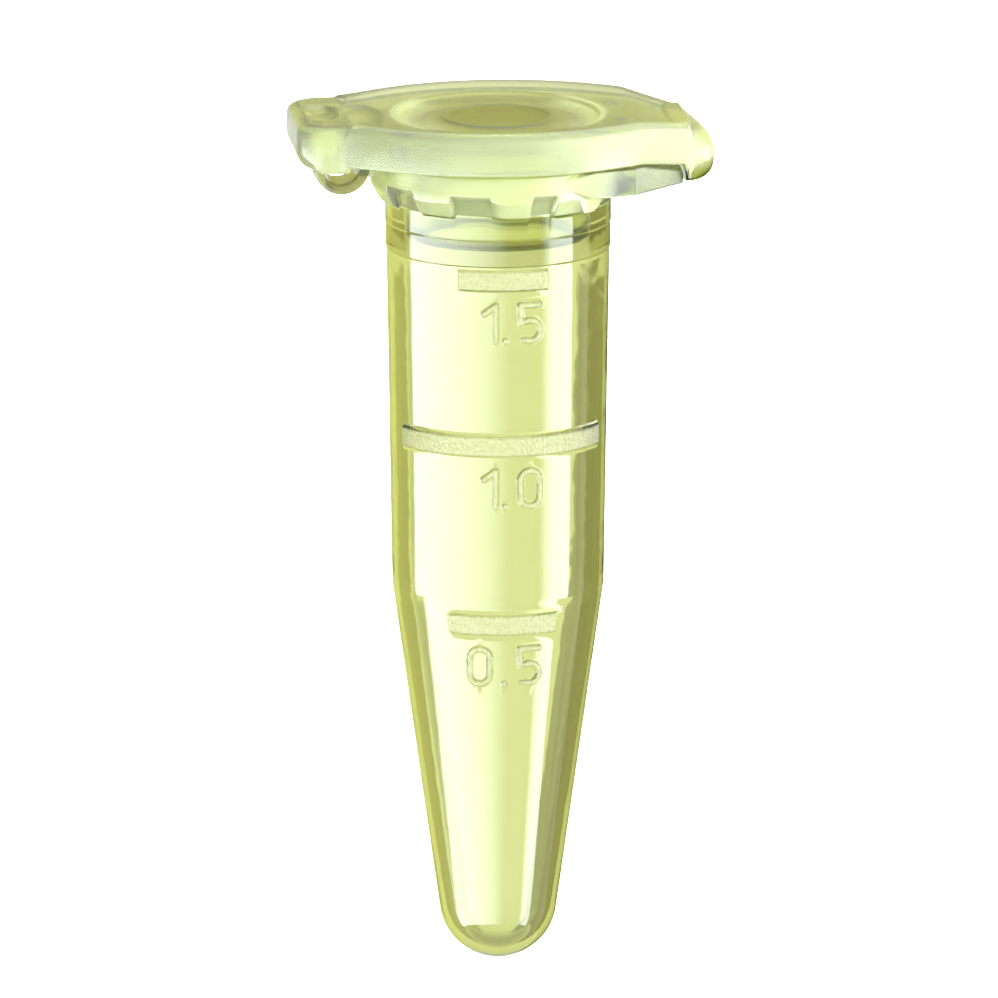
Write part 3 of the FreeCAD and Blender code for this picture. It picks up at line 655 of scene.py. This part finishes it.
def lid_side_rows(edges):
    """Rows over the rim's rounded edge and down the side, or round the nose of the tab."""
    outline, tab, block, low = edges.outline, edges.tab, edges.block, edges.low
    rounding = mix(RIM_ROUNDING, BLOCK_ROUNDING, block)
    under_bevel = edges.bevel * block
    rows = bend((mix(outline - rounding, edges.top_edge, tab), edges.rim_top),
                (mix(outline, edges.top_edge + 0.933 * edges.stretch, tab), mix(edges.rim_top, 3.05, tab)),
                (outline, mix(edges.rim_top - rounding, TAB_NOSE + 0.05, tab)), 11)
    rows += bend((outline, mix(low + 0.14 + under_bevel, TAB_NOSE - 0.05, tab)),
                 (mix(outline - 0.05 * block, outline, tab), mix(low + 0.05 * block, edges.tab_bottom, tab)),
                 (mix(outline - 0.14 - under_bevel, edges.top_edge + 0.45 * edges.stretch, tab), low), 9)
    return rows


def lid_under_rows(edges):
    """Rows under the plate, down the plug and its bead, and up inside its hollow."""
    same, block = edges.same, edges.block
    inner_edge = np.minimum(edges.outline - 0.2 - edges.bevel * block, edges.top_edge + 0.3 * edges.stretch)
    inner_edge = mix(inner_edge, np.maximum(-BLOCK_ROOT / np.maximum(-edges.cos, 0.5), 4.6), block)
    inner_edge = mix(inner_edge, edges.root - TAB_INNER_GAP, edges.tab)
    under_sag = droop(np.minimum(inner_edge * edges.cos, TAB_ROOT))
    bend_radius = np.clip(TAB_BEND / np.maximum(edges.cos, 0.2), 4.7, inner_edge - 0.05)
    rows = rounded([
        (inner_edge, edges.low, 0),
        (inner_edge - 0.05, mix(PLATE_BOTTOM - under_sag, PLATE_BOTTOM, block), 0),
        (bend_radius, PLATE_BOTTOM * same, 0.1),
        (PLUG_RADIUS * same, PLATE_BOTTOM * same, 0.15),
        (PLUG_RADIUS * same, (BEAD_HEIGHT + 0.22) * same, 0.05),
        (BEAD_RADIUS * same, (BEAD_HEIGHT + 0.07) * same, 0.05),
        (BEAD_RADIUS * same, (BEAD_HEIGHT - 0.07) * same, 0.05),
        (PLUG_RADIUS * same, (BEAD_HEIGHT - 0.22) * same, 0.05),
        ((PLUG_RADIUS - 0.2) * same, PLUG_BOTTOM * same, 0.1),
        ((PLUG_RADIUS - PLUG_WALL) * same, PLUG_BOTTOM * same, 0.1),
        ((PLUG_RADIUS - PLUG_WALL) * same, (PLATE_BOTTOM + HOLLOW_RISE) * same, 0.15),
        (1.0 * same, (PLATE_BOTTOM + HOLLOW_RISE) * same, 0),
    ])
    rows.append((0.0, PLATE_BOTTOM + HOLLOW_RISE))
    return rows


def paint_lid(piece):
    """A lightly frosted top, hazy sides, painted olive shade on the top and bead, painted highlight on the
    recess walls.
    """
    points = mesh_points_mm(piece)
    x, z = points[:, 0], points[:, 2]
    reach = np.hypot(x, points[:, 1])
    gap = lid_outline(np.degrees(np.arctan2(points[:, 1], x))) - reach
    top = ease(z, 3.0, 3.4) * ease(gap, 0.1, 0.5)
    paint_mask(piece, "frost", LID_TOP_FROST * top)

    side_haze = LID_SIDE_HAZE * ease(z, PLATE_BOTTOM - 1.0, PLATE_BOTTOM - 0.1)
    # painted highlight: the recess walls made milkier, and so paler, at the left and right only
    wall = ease(0.45 - np.abs(reach - RECESS_RADIUS), 0.0, 0.25)
    sideways = ease(np.abs(x) / np.maximum(reach, 0.1), 0.55, 0.85)
    paint_mask(piece, "haze_and_highlight", mix(side_haze, LID_TOP_HAZE + RECESS_WALL_HIGHLIGHT * wall * sideways, top))

    # painted shade: a dark band round the bead, and a darker top, darkest in the middle of the recess and on
    # its front and back walls
    bead = ease(0.3 - np.abs(z - BEAD_HEIGHT), 0.0, 0.15) * ease(reach, 4.2, 4.3)
    recess = RECESS_SHADE * (1.0 - ease(reach, RECESS_RADIUS - 0.5, RECESS_RADIUS - 0.2))
    recess += RING_SHADE * (1.0 - ease(reach, RING_RADIUS - 0.2, RING_RADIUS))
    recess = np.maximum(recess, RECESS_WALL_SHADE * wall * (1.0 - sideways))
    plate = LID_TOP_SHADE * ease(reach, RECESS_RADIUS + 0.2, RECESS_RADIUS + 0.6)
    paint_mask(piece, "shade", np.maximum(bead, top * np.maximum(recess, plate)))


def make_lid():
    zones = [(side * turn - 1.0, side * turn + 1.0, 0.25) for turn in LID_CORNER_TURNS for side in (-1, 1)]
    angles = columns(1.2, *zones)
    edges = lid_edges(angles)
    rows = lid_top_rows(edges) + lid_side_rows(edges) + lid_under_rows(edges)
    piece = turned_piece("lid_moulding", angles, rows[::-1])
    paint_lid(piece)
    return piece


# --- hinge strap ---------------------------------------------------------------------------------

def make_strap():
    """A thin band bent into half a ring, with rounded edges, from the collar's lug to the hinge block."""
    turns = np.radians(np.linspace(360.0, 180.0, 49))
    around = np.radians(np.arange(0.0, 360.0, 12.0))
    centre_x, centre_z = STRAP_CENTRE
    path = [(centre_x + STRAP_RADIUS * math.cos(t), centre_z + STRAP_RADIUS * math.sin(t), t) for t in turns]
    path.append((centre_x - STRAP_RADIUS, BLOCK_BOTTOM + 0.06, math.pi))
    path.insert(0, (centre_x + STRAP_RADIUS, centre_z + 0.06, 2 * math.pi))
    points = []
    for x, z, turn in path:
        from_fold = (math.degrees(turn) - FOLD_TURN) / FOLD_SPREAD
        half = STRAP_THICKNESS / 2 * (1.0 - STRAP_THINNING * math.exp(-from_fold ** 2))
        for a in around:
            across = math.copysign(abs(math.cos(a)) ** 0.15, math.cos(a)) * STRAP_HALF_WIDTH
            out = math.copysign(abs(math.sin(a)) ** 0.3, math.sin(a)) * half
            points.append((x + out * math.cos(turn), across, z + out * math.sin(turn)))
    count = len(around)
    faces = []
    for ring in range(len(path) - 1):
        for side in range(count):
            following = (side + 1) % count
            low, high = ring * count, (ring + 1) * count
            faces.append((low + side, low + following, high + following, high + side))
    faces.append(tuple(reversed(range(count))))
    faces.append(tuple(range((len(path) - 1) * count, len(path) * count)))
    piece = new_object("hinge_strap", points, faces)
    paint_mask(piece, "frost", np.zeros(len(points)))
    paint_mask(piece, "haze_and_highlight", np.full(len(points), STRAP_HAZE))
    # painted shade: the whole strap is darkened evenly
    paint_mask(piece, "shade", np.full(len(points), STRAP_SHADE))
    return piece


# --- material ------------------------------------------------------------------------------------

REFRACTION = 1.49
CLOUD_SCALE = 900.0
STIPPLE_SCALE = 7000.0
FLOW_SCALE = 420.0
STIPPLE_SHADE = 0.35
FROST_ROUGHNESS = 0.3
HAZE_ROUGHNESS = 0.3
FROST_CLOUDINESS = 0.2
CLOUDY_TRANSMISSION = 0.65
PALE_TINTS = ((0.95, 0.97, 0.88, 1.0), (0.97, 0.985, 0.93, 1.0))
# the yellow where hazy, also used to paint a highlight on the lid's recess walls
HAZE_AND_HIGHLIGHT_COLOUR = (0.78, 0.91, 0.30, 1.0)
# the olive of painted shade, also of the stipple's darker dots
SHADE_AND_STIPPLE_COLOUR = (0.36, 0.33, 0.11, 1.0)
DEPTH_COLOUR = (0.84, 0.87, 0.30, 1.0)
DEPTH_DENSITY = 800.0


def feed(tree, socket, value):
    """Link another node's output to a socket, or set the socket to a plain value."""
    if isinstance(value, bpy.types.NodeSocket):
        tree.links.new(value, socket)
    else:
        socket.default_value = value


def mask(tree, name):
    node = tree.nodes.new("ShaderNodeAttribute")
    node.attribute_name = name
    return node.outputs["Fac"]


def noise(tree, place, scale, detail=2.0):
    node = tree.nodes.new("ShaderNodeTexNoise")
    node.inputs["Scale"].default_value = scale
    node.inputs["Detail"].default_value = detail
    tree.links.new(place, node.inputs["Vector"])
    return node.outputs["Fac"]


def calculate(tree, operation, *values):
    node = tree.nodes.new("ShaderNodeMath")
    node.operation = operation
    for socket, value in zip(node.inputs, values):
        feed(tree, socket, value)
    return node.outputs["Value"]


def map_range(tree, value, start, end, low=0.0, high=1.0, smooth=False):
    """Turn a value that runs from low to high into one that runs from start to end."""
    node = tree.nodes.new("ShaderNodeMapRange")
    if smooth:
        node.interpolation_type = "SMOOTHSTEP"
    for name, number in (("From Min", low), ("From Max", high), ("To Min", start), ("To Max", end)):
        node.inputs[name].default_value = number
    tree.links.new(value, node.inputs["Value"])
    return node.outputs["Result"]


def mix_colour(tree, weight, first, second):
    """Blend two colours. The node's colour sockets are its inputs 6 and 7 and its output 2."""
    node = tree.nodes.new("ShaderNodeMix")
    node.data_type = "RGBA"
    feed(tree, node.inputs["Factor"], weight)
    feed(tree, node.inputs[6], first)
    feed(tree, node.inputs[7], second)
    return node.outputs[2]


def bump(tree, height, strength, distance):
    node = tree.nodes.new("ShaderNodeBump")
    node.inputs["Strength"].default_value = strength
    node.inputs["Distance"].default_value = distance
    tree.links.new(height, node.inputs["Height"])
    return node


def plastic_colour(tree, clouds, stipple, frost, haze_and_highlight, shade):
    """A pale tint that varies a little, yellower with haze and painted highlight, darker with painted shade
    and stipple.
    """
    tint = tree.nodes.new("ShaderNodeValToRGB")
    for element, colour in zip(tint.color_ramp.elements, PALE_TINTS):
        element.color = colour
    tree.links.new(clouds, tint.inputs["Fac"])
    body = mix_colour(tree, haze_and_highlight, tint.outputs["Color"], HAZE_AND_HIGHLIGHT_COLOUR)
    dots = map_range(tree, stipple, 0.0, STIPPLE_SHADE, 0.45, 0.65)
    darker = calculate(tree, "MULTIPLY_ADD", dots, frost, shade)
    return mix_colour(tree, darker, body, SHADE_AND_STIPPLE_COLOUR)


def plastic_roughness(tree, clouds, frost, haze_and_highlight):
    rough = map_range(tree, clouds, 0.02, 0.07)
    rough = calculate(tree, "MULTIPLY_ADD", frost, FROST_ROUGHNESS, rough)
    return calculate(tree, "MULTIPLY_ADD", haze_and_highlight, HAZE_ROUGHNESS, rough)


def plastic_surface(tree, place, stipple, frost):
    """Fine grain on the frosted zones, over the slow waves of moulded plastic."""
    grain = bump(tree, calculate(tree, "MULTIPLY", stipple, frost), 0.9, 0.0001)
    flow = bump(tree, noise(tree, place, FLOW_SCALE), 0.25, 0.00008)
    tree.links.new(grain.outputs["Normal"], flow.inputs["Normal"])
    return flow.outputs["Normal"]


def tinted_polypropylene():
    """Clear tinted plastic that darkens with depth, with stippled and hazy zones, painted shade and a
    painted highlight.
    """
    material = bpy.data.materials.new("tinted_polypropylene")
    material.use_nodes = True
    tree = material.node_tree
    surface = tree.nodes["Principled BSDF"].inputs
    surface["IOR"].default_value = REFRACTION
    place = tree.nodes.new("ShaderNodeTexCoord").outputs["Object"]
    frost, haze_and_highlight, shade = (mask(tree, name) for name in ("frost", "haze_and_highlight", "shade"))
    clouds = noise(tree, place, CLOUD_SCALE, 4.0)
    stipple = noise(tree, place, STIPPLE_SCALE)
    feed(tree, surface["Base Color"], plastic_colour(tree, clouds, stipple, frost, haze_and_highlight, shade))
    feed(tree, surface["Roughness"], plastic_roughness(tree, clouds, frost, haze_and_highlight))
    cloudy = calculate(tree, "MULTIPLY_ADD", frost, FROST_CLOUDINESS, haze_and_highlight)
    feed(tree, surface["Transmission Weight"], map_range(tree, cloudy, 1.0, CLOUDY_TRANSMISSION))
    feed(tree, surface["Normal"], plastic_surface(tree, place, stipple, frost))
    depth = tree.nodes.new("ShaderNodeVolumeAbsorption")
    depth.inputs["Color"].default_value = DEPTH_COLOUR
    depth.inputs["Density"].default_value = DEPTH_DENSITY
    tree.links.new(depth.outputs["Volume"], tree.nodes["Material Output"].inputs["Volume"])
    return material


def plain_material(name, colour, roughness=0.9):
    material = bpy.data.materials.new(name)
    material.use_nodes = True
    shader = material.node_tree.nodes["Principled BSDF"]
    shader.inputs["Base Color"].default_value = (*colour, 1.0)
    shader.inputs["Roughness"].default_value = roughness
    return material


def glow_material(name, colour, strength):
    material = bpy.data.materials.new(name)
    material.use_nodes = True
    tree = material.node_tree
    glow = tree.nodes.new("ShaderNodeEmission")
    glow.inputs["Color"].default_value = (*colour, 1.0)
    glow.inputs["Strength"].default_value = strength
    tree.links.new(glow.outputs["Emission"], tree.nodes["Material Output"].inputs["Surface"])
    return material


# --- studio --------------------------------------------------------------------------------------

CAMERA_AZIMUTH = -6.0
BEHIND = CAMERA_AZIMUTH + 180.0
CAMERA_ELEVATION = 12.7
CAMERA_DISTANCE = 1800.0  # nearly flat, yet near enough for the other views not to clip the tube
CARD_DISTANCE = 260.0
CARD_POINTS = 41
VIEW_WIDTH = 47.98
VIEW_CENTRE = (0.05, 0.0, -15.03)
BACKDROP_GLOW = 1.0
CEILING_GLOW = 0.75
GROUND_GLOW = 0.55
LID_SHADE_GLOW = 0.6
EDGE_SHADE_GLOW = 0.2
EDGE_LEFT_GLOW = 0.85
LID_SOFTBOX_GLOW = 8.0
FLAG_GLOW = 0.42
FLAG_LEFT_GLOW = 0.58
SOFTBOX_GLOW = 13.5
BELOW_LID = -60.0
BELOW_BARREL = -120.0
THROUGH_BARREL = -78.0
ABOVE_LID = 5.0
FLOOR_REACH = 3000.0
LAMP_SIZE = 150.0
FLAG_ENDS = (75.0, 50.0)  # degrees from behind, on the right and on the left
FLAG_STARTS = (
    ("barrel", 15.0, 22.0, THROUGH_BARREL, BELOW_LID),
    ("cone", 13.0, 15.0, -CARD_DISTANCE, THROUGH_BARREL),
)
SOFTBOX_STARTS = (44.0, 15.0)  # degrees from the camera, both to the right of it
SOFTBOX_ENDS = (
    ("barrel", 84.0, 104.0, BELOW_BARREL, BELOW_LID),
    ("cone", 70.0, 95.0, -CARD_DISTANCE, BELOW_BARREL),
)


def toward(azimuth, elevation, distance):
    """A point in mm seen from the object's middle. Azimuth 0 is in front (-Y), 90 is at +X."""
    turn, lift = math.radians(azimuth), math.radians(elevation)
    return (
        VIEW_CENTRE[0] + distance * math.sin(turn) * math.cos(lift),
        VIEW_CENTRE[1] - distance * math.cos(turn) * math.cos(lift),
        VIEW_CENTRE[2] + distance * math.sin(lift),
    )


def aim(thing, place, target=VIEW_CENTRE):
    """Put a camera or lamp in place, pointing at the target."""
    direction = np.array(target) - np.array(place)
    thing.location = [c * MM for c in place]
    thing.rotation_euler = (
        math.atan2(math.hypot(direction[0], direction[1]), -direction[2]),
        0.0,
        math.atan2(direction[1], direction[0]) - math.pi / 2,
    )


def add_camera():
    data = bpy.data.cameras.new("camera")
    data.sensor_width = 36.0
    data.lens = 36.0 * CAMERA_DISTANCE / VIEW_WIDTH
    data.clip_end = 10.0
    camera = bpy.data.objects.new("camera", data)
    bpy.context.scene.collection.objects.link(camera)
    aim(camera, toward(CAMERA_AZIMUTH, CAMERA_ELEVATION, CAMERA_DISTANCE))
    bpy.context.scene.camera = camera


def add_card(name, start, end, material, in_gloss, bottom=-CARD_DISTANCE, top=CARD_DISTANCE):
    """A curved upright card between two azimuths, seen in the gloss or else through the plastic."""
    half = (end - start) / 2
    points, across = [], []
    for turn in np.linspace(-half, half, CARD_POINTS):
        x, y, _ = toward(start + half + turn, 0.0, CARD_DISTANCE)
        points += [(x, y, bottom), (x, y, top)]
        share = 0.5 + math.tan(math.radians(turn)) / math.tan(math.radians(half)) / 2
        across += [share, share]
    faces = [(2 * n, 2 * n + 2, 2 * n + 3, 2 * n + 1) for n in range(CARD_POINTS - 1)]
    card = new_object(name, points, faces)
    paint_mask(card, "across", across)
    card.data.materials.append(material)
    card.visible_camera = False
    card.visible_diffuse = False
    card.visible_shadow = False
    card.visible_glossy = in_gloss
    card.visible_transmission = not in_gloss


def softbox_material(name, start_soft, end_soft, strength=SOFTBOX_GLOW, colour=(0.9, 1.0, 1.0)):
    """Light that rises from the card's first edge and falls to its last over soft shares."""
    material = glow_material(name, colour, strength)
    tree = material.node_tree
    across = mask(tree, "across")
    rise = map_range(tree, across, 0.0, 1.0, 0.0, start_soft, smooth=True)
    fall = map_range(tree, across, 0.0, 1.0, 1.0, 1.0 - end_soft, smooth=True)
    both = calculate(tree, "MULTIPLY", rise, fall)
    feed(tree, tree.nodes["Emission"].inputs["Strength"], map_range(tree, both, BACKDROP_GLOW, strength))
    return material


def add_world():
    """White all round, falling off to a darker ceiling above and a darker ground far below."""
    world = bpy.data.worlds.new("studio")
    bpy.context.scene.world = world
    world.use_nodes = True
    tree = world.node_tree
    parts = tree.nodes.new("ShaderNodeSeparateXYZ")
    tree.links.new(tree.nodes.new("ShaderNodeTexCoord").outputs["Generated"], parts.inputs["Vector"])
    height = parts.outputs["Z"]
    ceiling = map_range(tree, height, CEILING_GLOW, BACKDROP_GLOW, 0.40, 0.04, smooth=True)
    ground = map_range(tree, height, GROUND_GLOW, BACKDROP_GLOW, -0.85, -0.45, smooth=True)
    background = tree.nodes["Background"]
    feed(tree, background.inputs["Strength"], calculate(tree, "MINIMUM", ceiling, ground))
    background.inputs["Color"].default_value = (1.0, 1.0, 1.0, 1.0)


def add_lamp(name, azimuth, elevation, power):
    """A soft lamp for matt surfaces. It isn't seen in the plastic, where the softboxes are."""
    data = bpy.data.lights.new(name, "AREA")
    data.size = LAMP_SIZE * MM
    data.energy = power
    lamp = bpy.data.objects.new(name, data)
    lamp.visible_camera = False
    lamp.visible_glossy = False
    lamp.visible_transmission = False
    bpy.context.scene.collection.objects.link(lamp)
    aim(lamp, toward(azimuth, elevation, CARD_DISTANCE))


def add_floor():
    """A wide white floor under the tip. The plastic looks past it, at the backdrop."""
    height = TIP_BOTTOM - 0.02
    corners = [(x * FLOOR_REACH, y * FLOOR_REACH, height) for x, y in ((-1, -1), (1, -1), (1, 1), (-1, 1))]
    floor = new_object("floor", corners, [(0, 1, 2, 3)])
    material = plain_material("floor", (0.95, 0.95, 0.95))
    shader = material.node_tree.nodes["Principled BSDF"]
    shader.inputs["Emission Color"].default_value = (1.0, 1.0, 1.0, 1.0)
    shader.inputs["Emission Strength"].default_value = 0.8
    floor.data.materials.append(material)
    floor.visible_transmission = False
    floor.visible_glossy = False


def add_flags():
    """Dark cards behind the tube, seen through it, for the dark bands along its sides."""
    dark = glow_material("flag", (1.0, 0.95, 0.8), FLAG_GLOW)
    less_dark = glow_material("flag_left", (1.0, 0.97, 0.75), FLAG_LEFT_GLOW)
    right_end, left_end = FLAG_ENDS
    for name, right_start, left_start, bottom, top in FLAG_STARTS:
        add_card("flag_right_" + name, BEHIND - right_start, BEHIND - right_end, dark, False, bottom, top)
        add_card("flag_left_" + name, BEHIND + left_start, BEHIND + left_end, less_dark, False, bottom, top)


def add_softboxes():
    """Bright cards in front, for the upright highlights in the gloss of the tube and the lid's side."""
    right = softbox_material("softbox_right", 0.45, 0.05)
    left = softbox_material("softbox_left", 0.68, 0.1)
    right_start, left_start = (CAMERA_AZIMUTH + start for start in SOFTBOX_STARTS)
    for name, right_end, left_end, bottom, top in SOFTBOX_ENDS:
        add_card("softbox_right_" + name, right_start, CAMERA_AZIMUTH + right_end, right, True, bottom, top)
        add_card("softbox_left_" + name, left_start, CAMERA_AZIMUTH - left_end, left, True, bottom, top)
    beside_lid = softbox_material("softbox_lid", 0.4, 0.15, LID_SOFTBOX_GLOW, (0.9, 1.0, 0.75))
    add_card("softbox_lid", CAMERA_AZIMUTH + 20.0, CAMERA_AZIMUTH + 135.0, beside_lid, True,
             BELOW_LID, ABOVE_LID)


def add_lid_shade():
    """A yellower card high behind, for the gloss on the lid's top."""
    material = glow_material("lid_shade", (1.0, 0.96, 0.2), LID_SHADE_GLOW)
    add_card("lid_shade", BEHIND - 50.0, BEHIND + 50.0, material, True, bottom=ABOVE_LID)


def add_edge_cards():
    """Cards behind, for the gloss on the tube's outer edges: dark on the right, pale on the left."""
    for name, side, colour, glow in (
        ("edge_shade", -1, (1.0, 0.95, 0.5), EDGE_SHADE_GLOW),
        ("edge_left", 1, (1.0, 1.0, 0.3), EDGE_LEFT_GLOW),
    ):
        material = glow_material(name, colour, glow)
        add_card(name, BEHIND + side * 10.0, BEHIND + side * 72.0, material, True, top=BELOW_LID)


def add_studio():
    scene = bpy.context.scene
    scene.view_settings.view_transform = "Standard"
    scene.cycles.max_bounces = 24
    scene.cycles.transmission_bounces = 24
    add_world()
    add_floor()
    add_flags()
    add_lid_shade()
    add_lamp("key_right", CAMERA_AZIMUTH + 50.0, 25.0, 1.5)
    add_lamp("fill_left", CAMERA_AZIMUTH - 60.0, 15.0, 0.15)
    add_softboxes()
    add_edge_cards()
    add_lamp("key_top", BEHIND, 60.0, 1.5)


# --- build ---------------------------------------------------------------------------------------

add_camera()
add_studio()
plastic = tinted_polypropylene()
tube = make_tube()
lid = make_lid()
strap = make_strap()
for piece in (tube, lid, strap):
    piece.data.materials.append(plastic)
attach(tube, "tube")
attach(lid, "lid")
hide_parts(*TUBE_NODES)
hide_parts(*LID_NODES)
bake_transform(strap)
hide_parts("collar_strap", "lid_strap")
